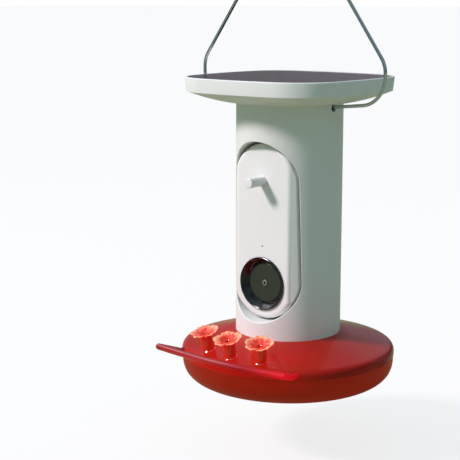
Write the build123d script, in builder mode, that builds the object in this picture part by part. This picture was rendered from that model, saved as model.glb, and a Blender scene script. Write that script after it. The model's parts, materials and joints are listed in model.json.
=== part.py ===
"""A hanging hummingbird feeder with a camera.

A two-part saucer holds the nectar, a round column stands on its lid, and a square tray with
a solar sheet roofs the column. A wire bail hangs the whole thing, and a camera module slides
out of a pocket in the column. Lengths are millimetres. The origin is the centre of the flat
under the bowl, +Z is up and the camera looks along -Y.
"""
import os
from math import asin, cos, degrees, hypot, radians, sin, sqrt, tan

from build123d import *

# Saucer
saucer_radius = 95
seam_step = 0.5
bowl_height = 26.8
bowl_corner_width = 31.5
bowl_rim_straight = 4.4
bowl_roundness_share = 0.66
bowl_wall = 2.4
bowl_lip_round = 0.5
lid_wall = 2.2
lid_rim_height = 3.0
lid_rim_round = 5.8
lid_slope = 14.8
skirt_depth = 7
skirt_wall = 2.6
skirt_gap = 0.5
seal_radius = 0.9
seal_gap = 0.3
seal_drop = 3.4
foot_post_count = 3
foot_post_start = 90

# Flower ports
port_inset = 14
port_spacing_gap = 4.17
port_flange_radius = 6
port_flange_height = 1.2
port_neck_radius = 4.6
port_neck_height = 11.2
port_neck_bury = 1
port_collar_step = 1.2
port_collar_rise = 5.1
port_tube_radius = 3.9
port_tube_length = 12
port_bore_radius = 2
port_petal_count = 5
port_petal_start = 47.8
port_petal_radius = 4.9
port_petal_offset = 7.5
port_cup_wall = 1.3
port_cup_depth = 8
port_cup_flat_radius = 4
port_cup_bulge_share = 0.67
port_cup_bulge_rise_share = 0.33
port_seat_sink = 0.6
port_gap = 0.3
port_boss_wall = 2
port_boss_depth = 4

# Perch
perch_rod_radius = 2.8
perch_half_width = 68.9
perch_stand_off = 6.7
perch_bow = 5.5
perch_rise = 6.6
perch_arm_lean = 6.9
perch_peg_rise = 4.6
perch_peg_radius = 2
perch_peg_depth = 8
perch_knuckle_gap = 5.42
perch_peg_gap = 0.05
perch_boss_radius = 3.4

# Column
column_radius = 46.7
column_wall = 2.4
post_radius = 3.6
post_bury = 0.8
top_post_length = 14
top_post_count = 4
top_post_start = 45
foot_post_length = 12
spigot_height = 8
spigot_wall = 2
spigot_gap = 0.15
notch_radius = 3.4
notch_drop = 2.6
bay_post_radius = 4

# Pocket for the camera module
bay_foot_margin = 14.27
bay_head_margin = 30.9
bay_shoulder = 10.5
bay_taper = 2
bay_wall = 1.8
bay_floor = 3
bay_floor_y = 6
bay_fit = 0.05
bay_edge_chamfer = 0.6
bay_post_low_inset = 22.7
bay_post_high_inset = 12.7
bay_rib_angles = (-130, -50, 50, 130)
bay_rib_width = 2
bay_rib_setback = 16
bay_rib_gap = 0.3
contact_rise = 9
contact_block_width = 18
contact_block_depth = 7
contact_block_height = 10
contact_lip = 3
contact_pitch = 4
contact_count = 4
contact_pin_radius = 0.8
contact_pin_proud = 0.1
contact_pad_radius = 1.3
contact_pad_thickness = 0.2

# Camera module
module_gap = 2
module_face_inset = 5.15
module_skin_drop = 0.3
module_back_gap = 0.6
module_wall = 2.2
module_front_depth = 23.7
module_face_round = 4
gasket_thickness = 1
gasket_sink = 0.3
gasket_width = 1.4
module_boss_radius = 4.4
module_boss_angle = 40
module_boss_face_gap = 3
module_head_sink = 3
module_screw_length = 25
lens_drop = 3.1
bezel_margin = 6.8
bezel_flange = 2
bezel_step = 2.6
bezel_edge = 0.6
bezel_cone_width = 5.6
bezel_throat_depth = 5.95
bezel_lip_thickness = 3.5
bezel_lip_width = 1.8
bezel_gap = 0.1
window_thickness = 1.6
window_gap = 0.1
window_hole_radius = 3
barrel_radius = 7
barrel_length = 9
barrel_reach = 2
barrel_flange_gap = 3.8
barrel_flange = 1.5
barrel_nose_radius = 2.7
barrel_nose_proud = 0.4
sensor_board_size = 24
board_thickness = 1.6
main_board_side_gap = 8
board_boss_gap = 1.9
board_post_radius = 3
board_post_inset = 6
board_pin_radius = 1.2
board_post_low_inset = 26
board_post_high_inset = 14
cell_radius = 9.2
cell_length = 65
cell_web = 0.4
cell_front_gap = 4
cell_boss_gap = 7.3
cell_gap = 0.3
cradle_floor = 2.4
cradle_thickness = 7
cradle_wall = 1.8
mic_gap = 9.7
mic_cell_gap = 0.5
mic_hole_radius = 0.9
mic_seal_radius = 3
mic_seal_depth = 3
knob_radius = 4.25
knob_length = 20
knob_edge_round = 0.9

# Roof
roof_width = 159
roof_height = 22.5
roof_rim_height = 12.25
roof_rim_taper = 1
roof_corner_radius = 43.8
roof_corner_inset = 8.2
roof_wall = 2.4
roof_edge_round = 0.8
roof_lip = 2.2
roof_ledge = 3.3
dish_out_shares = (0.36, 0.69)
dish_rise_shares = (0.2, 0.54)
solar_glass_thickness = 1.5
solar_glass_sink = 0.3
solar_glass_gap = 0.3
solar_cell_thickness = 0.4
solar_board_thickness = 1.6
solar_cell_columns = 4
solar_cell_rows = 3
solar_cell_gap = 1.2
solar_margin = 15
junction_length = 22
junction_width = 14
junction_height = 5
junction_round = 2
lead_radius = 1.4
lead_x = 6.4
lead_bow = 4
lead_hole_gap = 0.6

# Screws
screw_radius = 1.5
screw_length = 11
screw_head_radius = 2.8
screw_head_height = 1.8
screw_gap = 0.05
screw_head_gap = 0.2
screw_tip_gap = 1

# Bail
wire_radius = 1.5
bail_axis_drop = 1.8
bail_end_depth = 10.7
bail_bend_gap = 1.8
bail_bend_radius = 12
bail_run_slope = 5.8
bail_side_gap = 17.6
bail_side_turn = 24
bail_straight = 3
bail_lean_turn = 22.5
bail_lean = 35.5
bail_top_turn = 14

# One overrun for every cut
cut_over = 1

# Levels and radii that follow from the sizes above
bowl_radius = saucer_radius - seam_step
bowl_inner = bowl_radius - bowl_wall
bowl_flat_radius = bowl_radius - bowl_corner_width
bowl_corner_height = bowl_height - bowl_rim_straight
lid_rim_top = bowl_height + lid_rim_height
lid_round_end_radius = saucer_radius - lid_rim_round * (1 - sin(radians(lid_slope)))
lid_round_end_height = lid_rim_top + lid_rim_round * cos(radians(lid_slope))
column_inner = column_radius - column_wall
bay_lower_radius = column_radius - bay_shoulder
bay_upper_radius = bay_lower_radius - bay_taper
module_radius = column_radius - module_skin_drop
module_lower_radius = bay_lower_radius - module_gap
module_upper_radius = bay_upper_radius - module_gap
module_face_y = sqrt(module_radius**2 - (module_upper_radius - module_face_inset) ** 2)
module_split_y = module_face_y - module_front_depth
module_back_y = bay_floor_y - module_back_gap
bay_back_y = bay_floor_y + bay_floor
post_circle = column_inner - post_radius + post_bury
port_circle_radius = saucer_radius - port_inset
port_collar_radius = port_neck_radius + port_collar_step
port_boss_radius = port_flange_radius + port_gap + port_boss_wall
port_cup_radius = port_petal_offset + port_petal_radius
port_spacing_angle = 2 * degrees(asin((port_cup_radius + port_spacing_gap / 2) / port_circle_radius))
perch_reach = saucer_radius + perch_stand_off - perch_bow
perch_peg_x = perch_half_width - perch_arm_lean
perch_peg_height = bowl_height + perch_peg_rise
perch_height = perch_peg_height + perch_rise
rim_y = sqrt(saucer_radius**2 - perch_peg_x**2)
perch_peg_tip_y = rim_y - perch_peg_depth
perch_knuckle_y = rim_y + perch_knuckle_gap
lead_y = bay_back_y + contact_block_depth / 2
roof_half = roof_width / 2
dish_rise = roof_height - roof_rim_height


def lid_height(radius):
    """Height of the lid's outer cone at a radius."""
    return lid_round_end_height + (lid_round_end_radius - radius) * tan(radians(lid_slope))


foot_height = lid_height(column_radius)
bay_lower_height = foot_height + bay_foot_margin + bay_lower_radius
lower_boss_reach = module_lower_radius - module_wall - module_boss_radius + post_bury
upper_boss_reach = module_upper_radius - module_wall - module_boss_radius + post_bury
lower_boss_drop = lower_boss_reach * cos(radians(module_boss_angle))
upper_boss_rise = upper_boss_reach * cos(radians(module_boss_angle))
bezel_radius = module_lower_radius - module_face_round - bezel_margin
lens_height = bay_lower_height - lens_drop
mic_height = lens_height + bezel_radius + mic_gap
cell_bottom = mic_height + mic_cell_gap
cell_top = cell_bottom + cell_length
bay_upper_height = cell_top - upper_boss_rise + module_boss_radius + cell_boss_gap
bay_middle_height = (bay_lower_height + bay_upper_height) / 2
column_top = bay_upper_height + bay_upper_radius + bay_head_margin
bay_post_heights = (
    bay_lower_height - bay_lower_radius + bay_post_low_inset,
    bay_upper_height + bay_upper_radius - bay_post_high_inset,
)
contact_height = bay_middle_height + contact_rise
roof_top = column_top + roof_height
roof_rim_bottom = roof_top - roof_rim_height
skirt_outer = bowl_inner - skirt_gap
skirt_bottom = bowl_height - skirt_depth
seal_height = bowl_height - seal_drop
seal_centre = bowl_inner - seal_gap - seal_radius


def pill(lower_radius, upper_radius):
    """Outline of the camera pocket and of everything that follows it."""
    with BuildSketch() as outline:
        with Locations((0, bay_lower_height)):
            Circle(lower_radius)
        with Locations((0, bay_upper_height)):
            Circle(upper_radius)
        make_hull()
    return outline.sketch


def roof_outline(half, inset, corner):
    """Square with bowed sides and round corners. Inset is how far a corner lies inside half."""
    reach = half - inset
    with BuildSketch() as outline:
        with BuildLine():
            ThreePointArc((-reach, -reach), (0, -half), (reach, -reach))
            ThreePointArc((reach, -reach), (half, 0), (reach, reach))
            ThreePointArc((reach, reach), (0, half), (-reach, reach))
            ThreePointArc((-reach, reach), (-half, 0), (-reach, -reach))
        make_face()
        fillet(outline.vertices(), corner)
    return outline.sketch


def screw_profile(length):
    """Half section of a pan head screw. Its seat is at zero and its tip at minus length."""
    with BuildSketch() as outline:
        with BuildLine():
            Polyline(
                (0, -length),
                (screw_radius, -length),
                (screw_radius, 0),
                (screw_head_radius, 0),
                (screw_head_radius, screw_head_height / 2),
                (screw_head_radius / 2, screw_head_height),
                (0, screw_head_height),
                close=True,
            )
        make_face()
    return outline.sketch


def save(part, label):
    """Write one piece to its own file."""
    part.label = label
    export_step(part, f"parts/{label}.step")
    print(label, round(part.volume), len(part.solids()))


os.makedirs("parts", exist_ok=True)

# Bowl
with BuildPart() as bowl:
    with BuildSketch(Plane.XZ):
        corner = bowl_radius - bowl_flat_radius
        inner_corner = corner - bowl_wall
        inner_corner_height = bowl_corner_height - bowl_wall
        with BuildLine():
            base = Line((0, 0), (bowl_flat_radius, 0))
            outside = Bezier(
                base @ 1,
                (bowl_flat_radius + corner * bowl_roundness_share, 0),
                (bowl_radius, bowl_corner_height * (1 - bowl_roundness_share)),
                (bowl_radius, bowl_corner_height),
            )
            rim_outside = Line(outside @ 1, (bowl_radius, bowl_height))
            rim = Line(rim_outside @ 1, (bowl_inner, bowl_height))
            rim_inside = Line(rim @ 1, (bowl_inner, bowl_corner_height))
            inside = Bezier(
                rim_inside @ 1,
                (bowl_inner, bowl_corner_height - inner_corner_height * bowl_roundness_share),
                (bowl_flat_radius + inner_corner * bowl_roundness_share, bowl_wall),
                (bowl_flat_radius, bowl_wall),
            )
            floor = Line(inside @ 1, (0, bowl_wall))
            Line(floor @ 1, (0, 0))
        make_face()
    revolve(axis=Axis.Z)
    rim_edges = bowl.edges().filter_by(GeomType.CIRCLE).group_by(Axis.Z)[-1]
    fillet(rim_edges.sort_by(SortBy.RADIUS)[-1], bowl_lip_round)
save(bowl.part, "bowl")


def lid_block():
    """Solid of the lid's outside, down to the seam."""
    with BuildSketch() as outline:
        with BuildLine():
            under = Line((0, bowl_height), (saucer_radius, bowl_height))
            edge = Line(under @ 1, (saucer_radius, lid_rim_top))
            shoulder = JernArc(edge @ 1, (0, 1), lid_rim_round, 90 - lid_slope)
            cone = Line(shoulder @ 1, (column_radius, foot_height))
            deck = Line(cone @ 1, (0, foot_height))
            Line(deck @ 1, (0, bowl_height))
        make_face()
    return outline.sketch


# Bosses inside the lid's rim that take the perch's pegs
with BuildPart() as perch_bosses:
    with BuildSketch(Plane.XZ):
        add(lid_block())
    revolve(axis=Axis.Z)
    with BuildSketch(Plane.XZ.offset(perch_peg_tip_y - lid_wall)):
        with Locations((-perch_peg_x, perch_peg_height), (perch_peg_x, perch_peg_height)):
            Circle(perch_boss_radius)
    extrude(amount=saucer_radius, mode=Mode.INTERSECT)

# Lid
def port_plane(step):
    """Plane on the lid's cone at a port, square to the slope. The middle port has step 0."""
    outward = Vector(0, -1, 0).rotate(Axis.Z, step * port_spacing_angle)
    place = outward * port_circle_radius + Vector(0, 0, lid_height(port_circle_radius))
    up = outward * sin(radians(lid_slope)) + Vector(0, 0, cos(radians(lid_slope)))
    return Plane(origin=place, x_dir=(1, 0, 0), z_dir=up)


port_planes = [port_plane(step) for step in (-1, 0, 1)]
with BuildPart() as lid:
    with BuildSketch(Plane.XZ):
        add(lid_block())
    revolve(axis=Axis.Z)
    with BuildSketch(Plane.XZ):
        inside_radius = saucer_radius - lid_wall
        deck_under = foot_height - lid_wall
        with BuildLine():
            under = Line((0, bowl_height - cut_over), (inside_radius, bowl_height - cut_over))
            edge = Line(under @ 1, (inside_radius, lid_rim_top))
            shoulder = JernArc(edge @ 1, (0, 1), lid_rim_round - lid_wall, 90 - lid_slope)
            run = (deck_under - (shoulder @ 1).Y) / tan(radians(lid_slope))
            cone = Line(shoulder @ 1, ((shoulder @ 1).X - run, deck_under))
            deck = Line(cone @ 1, (0, deck_under))
            Line(deck @ 1, under @ 0)
        make_face()
    revolve(axis=Axis.Z, mode=Mode.SUBTRACT)
    # Skirt that the bowl slides over, with the groove of its seal
    with BuildSketch(Plane.XY.offset(skirt_bottom)):
        Circle(skirt_outer)
        Circle(skirt_outer - skirt_wall, mode=Mode.SUBTRACT)
    extrude(amount=lid_height(skirt_outer) - lid_wall / 2 - skirt_bottom)
    with BuildSketch(Plane.XY.offset(seal_height - seal_radius - bay_fit)):
        Circle(skirt_outer + cut_over)
        Circle(seal_centre - seal_radius - bay_fit, mode=Mode.SUBTRACT)
    extrude(amount=2 * (seal_radius + bay_fit), mode=Mode.SUBTRACT)
    # Spigot inside the column's foot, open at the column's posts
    with BuildSketch(Plane.XY.offset(foot_height)):
        Circle(column_inner - spigot_gap)
        Circle(column_inner - spigot_gap - spigot_wall, mode=Mode.SUBTRACT)
    extrude(amount=spigot_height)
    with BuildSketch(Plane.XY.offset(foot_height)):
        with PolarLocations(post_circle, foot_post_count, start_angle=foot_post_start):
            Circle(post_radius + 2 * spigot_gap)
    extrude(amount=spigot_height, mode=Mode.SUBTRACT)
    with BuildSketch(Plane.XY.offset(foot_height)):
        with PolarLocations(post_circle, foot_post_count, start_angle=foot_post_start):
            Circle(screw_radius + screw_gap)
    extrude(amount=-lid_wall, mode=Mode.SUBTRACT)
    # Sockets of the three flower ports
    for plane in port_planes:
        with BuildSketch(plane.offset(-lid_wall / 2)):
            Circle(port_boss_radius)
        extrude(amount=lid_wall / 2 - port_boss_depth)
        with BuildSketch(plane.offset(-port_seat_sink)):
            Circle(port_flange_radius + port_gap)
        extrude(amount=port_neck_height, mode=Mode.SUBTRACT)
        with BuildSketch(plane.offset(-port_seat_sink + cut_over)):
            Circle(port_tube_radius + port_gap)
        extrude(amount=-port_tube_length, mode=Mode.SUBTRACT)
    # Sockets of the perch
    add(perch_bosses.part)
    with BuildSketch(Plane.XZ.offset(perch_peg_tip_y - perch_peg_gap)):
        with Locations((-perch_peg_x, perch_peg_height), (perch_peg_x, perch_peg_height)):
            Circle(perch_peg_radius + perch_peg_gap)
    extrude(amount=saucer_radius - perch_peg_tip_y, mode=Mode.SUBTRACT)
save(lid.part, "lid")

# Seal ring between lid and bowl
with BuildPart() as seal_ring:
    with BuildSketch(Plane.XZ):
        with Locations((seal_centre, seal_height)):
            Circle(seal_radius)
    revolve(axis=Axis.Z)
save(seal_ring.part, "seal_ring")


def screw(seat, to_head, length):
    """Pan head screw with its head's seat at a point. To_head points from the tip to the head."""
    with BuildPart() as one:
        with BuildSketch(Plane(origin=seat, x_dir=(1, 0, 0), z_dir=Vector(1, 0, 0).cross(to_head))):
            add(screw_profile(length))
        revolve(axis=Axis(seat, to_head))
    return one.part


foot_post_places = [
    (
        post_circle * cos(radians(foot_post_start + 360 * step / foot_post_count)),
        post_circle * sin(radians(foot_post_start + 360 * step / foot_post_count)),
    )
    for step in range(foot_post_count)
]
top_post_places = [
    (
        post_circle * cos(radians(top_post_start + 360 * step / top_post_count)),
        post_circle * sin(radians(top_post_start + 360 * step / top_post_count)),
    )
    for step in range(top_post_count)
]

# Screws that hold the lid to the column
with BuildPart() as lid_screws:
    for x, y in foot_post_places:
        add(screw((x, y, foot_height - lid_wall), Vector(0, 0, -1), screw_length))
save(lid_screws.part, "lid_screws")


def flower_port():
    """Five-petalled cup on a neck, with the tube that dips into the nectar. Its seat is at zero."""
    cup_bottom = port_neck_height
    bulge_width = (port_cup_radius - port_cup_flat_radius) * port_cup_bulge_share
    bulge_radius = port_cup_flat_radius + bulge_width
    with BuildPart() as port:
        with BuildSketch(Plane.XZ):
            with BuildLine():
                flat = Line((0, cup_bottom), (port_cup_flat_radius, cup_bottom))
                outside = ThreePointArc(
                    flat @ 1,
                    (bulge_radius, cup_bottom + port_cup_depth * port_cup_bulge_rise_share),
                    (port_cup_radius, cup_bottom + port_cup_depth),
                )
                lip = Line(outside @ 1, (port_cup_radius - port_cup_wall, cup_bottom + port_cup_depth))
                inside = ThreePointArc(
                    lip @ 1,
                    (
                        bulge_radius - port_cup_wall / 2,
                        cup_bottom + port_cup_depth * port_cup_bulge_rise_share + port_cup_wall,
                    ),
                    (port_cup_flat_radius, cup_bottom + port_cup_wall),
                )
                floor = Line(inside @ 1, (0, cup_bottom + port_cup_wall))
                Line(floor @ 1, flat @ 0)
            make_face()
        revolve(axis=Axis.Z)
        with BuildSketch(Plane.XY.offset(cup_bottom)):
            Circle(port_petal_offset)
            with PolarLocations(port_petal_offset, port_petal_count, start_angle=port_petal_start):
                Circle(port_petal_radius)
        extrude(amount=port_cup_depth, mode=Mode.INTERSECT)
        with BuildSketch(Plane.XZ):
            with BuildLine():
                Polyline(
                    (0, -port_tube_length),
                    (port_tube_radius, -port_tube_length),
                    (port_tube_radius, 0),
                    (port_flange_radius, 0),
                    (port_flange_radius, port_flange_height),
                    (port_neck_radius, port_flange_height),
                    (port_neck_radius, port_collar_rise),
                    (port_collar_radius, port_collar_rise),
                    (port_collar_radius, cup_bottom + port_neck_bury),
                    (0, cup_bottom + port_neck_bury),
                    close=True,
                )
            make_face()
        revolve(axis=Axis.Z)
        with BuildSketch(Plane.XY.offset(-port_tube_length)):
            Circle(port_bore_radius)
        extrude(amount=port_tube_length + port_neck_height + port_cup_depth, mode=Mode.SUBTRACT)
    return port.part


for plane, side in zip(port_planes, ("left", "centre", "right")):
    save(flower_port().moved(plane.offset(-port_seat_sink).location), f"flower_port_{side}")

# Perch: a bowed rod with two arms and two pegs
with BuildPart() as perch:
    with BuildLine() as bow:
        bar = ThreePointArc(
            (-perch_half_width, -perch_reach, perch_height),
            (0, -perch_reach - perch_bow, perch_height),
            (perch_half_width, -perch_reach, perch_height),
        )
    with BuildSketch(Plane(origin=bar @ 0, z_dir=bar % 0)):
        Circle(perch_rod_radius)
    sweep()
    for side in (-1, 1):
        tip = Vector(side * perch_half_width, -perch_reach, perch_height)
        knuckle = Vector(side * perch_peg_x, -perch_knuckle_y, perch_peg_height)
        with Locations(tip, knuckle):
            Sphere(perch_rod_radius)
        with BuildSketch(Plane(origin=knuckle, z_dir=tip - knuckle)):
            Circle(perch_rod_radius)
        extrude(amount=(tip - knuckle).length)
        with BuildSketch(Plane.XZ.offset(perch_knuckle_y)):
            with Locations((side * perch_peg_x, perch_peg_height)):
                Circle(perch_peg_radius)
        extrude(amount=perch_peg_tip_y - perch_knuckle_y)
save(perch.part, "perch")

# Column shell: tube, screw posts, pocket opening and the notches of the bail
with BuildPart() as column_shell:
    with BuildSketch(Plane.XY.offset(foot_height)):
        Circle(column_radius)
        Circle(column_inner, mode=Mode.SUBTRACT)
    extrude(amount=column_top - foot_height)
    with BuildSketch(Plane.XY.offset(column_top)):
        with Locations(*top_post_places):
            Circle(post_radius)
    extrude(amount=-top_post_length)
    with BuildSketch(Plane.XY.offset(foot_height)):
        with Locations(*foot_post_places):
            Circle(post_radius)
    extrude(amount=foot_post_length)
    with BuildSketch(Plane.XZ.offset(-bay_back_y)):
        with Locations(*[(0, height) for height in bay_post_heights]):
            Circle(bay_post_radius)
    extrude(amount=bay_back_y - column_inner - column_wall / 2)
    with BuildSketch(Plane.XZ):
        add(pill(bay_lower_radius, bay_upper_radius))
    extrude(amount=column_radius + cut_over, mode=Mode.SUBTRACT)
    mouth = column_shell.edges(Select.LAST).filter_by(
        lambda edge: hypot((edge @ 0.5).X, (edge @ 0.5).Y) > column_radius - bay_edge_chamfer
    )
    chamfer(mouth, bay_edge_chamfer)
    with BuildSketch(Plane.YZ):
        with Locations((0, column_top - notch_drop)):
            Circle(notch_radius)
    extrude(amount=column_radius + cut_over, both=True, mode=Mode.SUBTRACT)
    with BuildSketch(Plane.XY.offset(column_top)):
        with Locations(*top_post_places):
            Circle(screw_radius + screw_gap)
    extrude(amount=-screw_length, mode=Mode.SUBTRACT)
    with BuildSketch(Plane.XY.offset(foot_height)):
        with Locations(*foot_post_places):
            Circle(screw_radius + screw_gap)
    extrude(amount=screw_length, mode=Mode.SUBTRACT)
    with BuildSketch(Plane.XZ.offset(-bay_back_y)):
        with Locations(*[(0, height) for height in bay_post_heights]):
            Circle(screw_radius + screw_gap)
    extrude(amount=-screw_length, mode=Mode.SUBTRACT)
save(column_shell.part, "column_shell")

# Pocket of the camera module
with BuildPart() as camera_bay:
    with BuildSketch(Plane.XZ.offset(-bay_back_y)):
        add(pill(bay_lower_radius + bay_wall, bay_upper_radius + bay_wall))
    extrude(amount=bay_back_y + column_inner)
    with BuildSketch(Plane.XY.offset(foot_height)):
        Circle(column_inner - bay_fit)
    extrude(amount=column_top - foot_height, mode=Mode.INTERSECT)
    with BuildSketch(Plane.XZ.offset(-bay_floor_y)):
        add(pill(bay_lower_radius, bay_upper_radius))
    extrude(amount=bay_floor_y + column_radius, mode=Mode.SUBTRACT)
    # Ribs that guide the module
    with BuildSketch(Plane.XZ.offset(-bay_floor_y)):
        for angle in bay_rib_angles:
            height, bay_radius = bay_upper_height, bay_upper_radius
            if angle < 0:
                height, bay_radius = bay_lower_height, bay_lower_radius
            rib_depth = module_gap - bay_rib_gap
            with Locations((0, height)):
                with PolarLocations(bay_radius - rib_depth / 2 + bay_fit, 1, start_angle=angle):
                    Rectangle(rib_depth + 2 * bay_fit, bay_rib_width)
    extrude(amount=bay_floor_y + module_face_y - bay_rib_setback)
    with Locations(Plane.XZ.offset(-bay_floor_y)):
        with Locations(*[(0, height, 0) for height in bay_post_heights]):
            CounterBoreHole(
                radius=screw_radius + screw_gap,
                counter_bore_radius=screw_head_radius + screw_head_gap,
                counter_bore_depth=screw_head_height + screw_head_gap,
                depth=bay_floor,
            )
    with BuildSketch(Plane.XZ.offset(-bay_back_y)):
        with Locations((0, contact_height)):
            Rectangle(contact_block_width - contact_lip, contact_block_height - contact_lip)
    extrude(amount=bay_floor, mode=Mode.SUBTRACT)
save(camera_bay.part, "camera_bay")

# Screws that hold the pocket to the column's posts
with BuildPart() as bay_screws:
    for height in bay_post_heights:
        seat_y = bay_floor_y + screw_head_height + screw_head_gap
        add(screw((0, seat_y, height), Vector(0, -1, 0), screw_length))
save(bay_screws.part, "bay_screws")

# Contact block behind the pocket, with its spring pins
contact_places = [
    ((step - (contact_count - 1) / 2) * contact_pitch, contact_height) for step in range(contact_count)
]
with BuildPart() as contact_block:
    with BuildSketch(Plane.XZ.offset(-bay_back_y)):
        with Locations((0, contact_height)):
            Rectangle(contact_block_width, contact_block_height)
    extrude(amount=-contact_block_depth)
    with BuildSketch(Plane.XZ.offset(-bay_back_y)):
        with Locations((0, contact_height)):
            Rectangle(
                contact_block_width - contact_lip - 2 * bay_fit,
                contact_block_height - contact_lip - 2 * bay_fit,
            )
    extrude(amount=bay_floor)
    with BuildSketch(Plane.XZ.offset(-bay_floor_y)):
        with Locations(*contact_places):
            Circle(contact_pin_radius + bay_fit)
    extrude(amount=-bay_floor, mode=Mode.SUBTRACT)
save(contact_block.part, "contact_block")

with BuildPart() as contact_pins:
    with BuildSketch(Plane.XZ.offset(-bay_back_y)):
        with Locations(*contact_places):
            Circle(contact_pin_radius)
    extrude(amount=bay_floor + contact_pin_proud)
save(contact_pins.part, "contact_pins")


def dish_section(share, rise_share, inset, lift):
    """Section of the roof's underside, from the column (share 0) to the rim (share 1)."""
    half = column_radius + (roof_half - roof_rim_taper - column_radius) * share - inset
    circle_inset = column_radius * (1 - cos(radians(45)))
    corner_inset = circle_inset + (roof_corner_inset - circle_inset) * share
    corner = column_radius + (roof_corner_radius - column_radius) * share - inset
    height = column_top + dish_rise * rise_share + lift
    return half, corner_inset, corner, height


# Roof tray: dished underside, rim, and the ledge that carries the solar sheet
solar_stack = solar_glass_thickness + solar_cell_thickness + solar_board_thickness
panel_seat = roof_top - solar_glass_sink - solar_stack
with BuildPart() as roof_hollow:
    with BuildSketch(Plane.XY.offset(column_top + roof_wall)):
        Circle(column_radius)
    for share, rise_share in zip(dish_out_shares + (1,), dish_rise_shares + (1,)):
        inset = (roof_lip + roof_ledge - roof_rim_taper) * share
        half, corner_inset, corner, height = dish_section(share, rise_share, inset, roof_wall)
        with BuildSketch(Plane.XY.offset(height)):
            add(roof_outline(half, corner_inset, corner))
    loft()
    extrude(roof_hollow.faces().sort_by(Axis.Z)[-1], amount=panel_seat - roof_rim_bottom - roof_wall)
with BuildPart() as roof_tray:
    with BuildSketch(Plane.XY.offset(column_top)):
        Circle(column_radius)
    for share, rise_share in zip(dish_out_shares + (1,), dish_rise_shares + (1,)):
        half, corner_inset, corner, height = dish_section(share, rise_share, 0, 0)
        with BuildSketch(Plane.XY.offset(height)):
            add(roof_outline(half, corner_inset, corner))
    loft()
    with BuildSketch(Plane.XY.offset(roof_rim_bottom)):
        add(roof_outline(roof_half - roof_rim_taper, roof_corner_inset, roof_corner_radius))
    with BuildSketch(Plane.XY.offset(roof_top)):
        add(roof_outline(roof_half, roof_corner_inset, roof_corner_radius))
    loft()
    fillet(roof_tray.faces().sort_by(Axis.Z)[-1].edges(), roof_edge_round)
    add(roof_hollow.part, mode=Mode.SUBTRACT)
    with BuildSketch(Plane.XY.offset(panel_seat)):
        add(roof_outline(roof_half - roof_lip, roof_corner_inset, roof_corner_radius - roof_lip))
    extrude(amount=solar_stack + solar_glass_sink, mode=Mode.SUBTRACT)
    with BuildSketch(Plane.XY.offset(column_top)):
        with Locations(*top_post_places):
            Circle(screw_radius + screw_gap)
        with Locations((lead_x, lead_y)):
            Circle(lead_radius + lead_hole_gap)
    extrude(amount=roof_wall, mode=Mode.SUBTRACT)
save(roof_tray.part, "roof_tray")

# Screws that hold the roof to the column
with BuildPart() as roof_screws:
    for x, y in top_post_places:
        add(screw((x, y, column_top + roof_wall), Vector(0, 0, 1), screw_length))
save(roof_screws.part, "roof_screws")

# Solar sheet: circuit board, a grid of cells, and the glass over them
sheet_inset = roof_lip + solar_glass_gap
with BuildPart() as solar_board:
    with BuildSketch(Plane.XY.offset(panel_seat)):
        add(roof_outline(roof_half - sheet_inset, roof_corner_inset, roof_corner_radius - sheet_inset))
    extrude(amount=solar_board_thickness)
save(solar_board.part, "solar_board")

solar_field_width = 2 * (roof_half - sheet_inset - solar_margin)
cell_long = (solar_field_width - (solar_cell_rows - 1) * solar_cell_gap) / solar_cell_rows
cell_short = (solar_field_width - (solar_cell_columns - 1) * solar_cell_gap) / solar_cell_columns
with BuildPart() as solar_cells:
    with BuildSketch(Plane.XY.offset(panel_seat + solar_board_thickness)):
        with GridLocations(
            cell_short + solar_cell_gap, cell_long + solar_cell_gap, solar_cell_columns, solar_cell_rows
        ):
            Rectangle(cell_short, cell_long)
    extrude(amount=solar_cell_thickness)
save(solar_cells.part, "solar_cells")

with BuildPart() as solar_glass:
    with BuildSketch(Plane.XY.offset(panel_seat + solar_board_thickness + solar_cell_thickness)):
        add(roof_outline(roof_half - sheet_inset, roof_corner_inset, roof_corner_radius - sheet_inset))
    extrude(amount=solar_glass_thickness)
save(solar_glass.part, "solar_glass")

# Junction box under the solar board and the lead from it to the contact block
with BuildPart() as junction_box:
    with BuildSketch(Plane.XY.offset(panel_seat)):
        with Locations((lead_x, lead_y)):
            RectangleRounded(junction_length, junction_width, junction_round)
    extrude(amount=-junction_height)
save(junction_box.part, "junction_box")

lead_top = panel_seat - junction_height
lead_bottom = contact_height + contact_block_height / 2
with BuildPart() as solar_lead:
    with BuildLine() as lead_route:
        Spline(
            (lead_x, lead_y, lead_top),
            (lead_x, lead_y + lead_bow, (lead_top + lead_bottom) / 2),
            (lead_x, lead_y, lead_bottom),
            tangents=((0, 0, -1), (0, 0, -1)),
        )
    with BuildSketch(Plane.XY.offset(lead_top)):
        with Locations((lead_x, lead_y)):
            Circle(lead_radius)
    sweep(path=lead_route.line)
save(solar_lead.part, "solar_lead")

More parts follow.
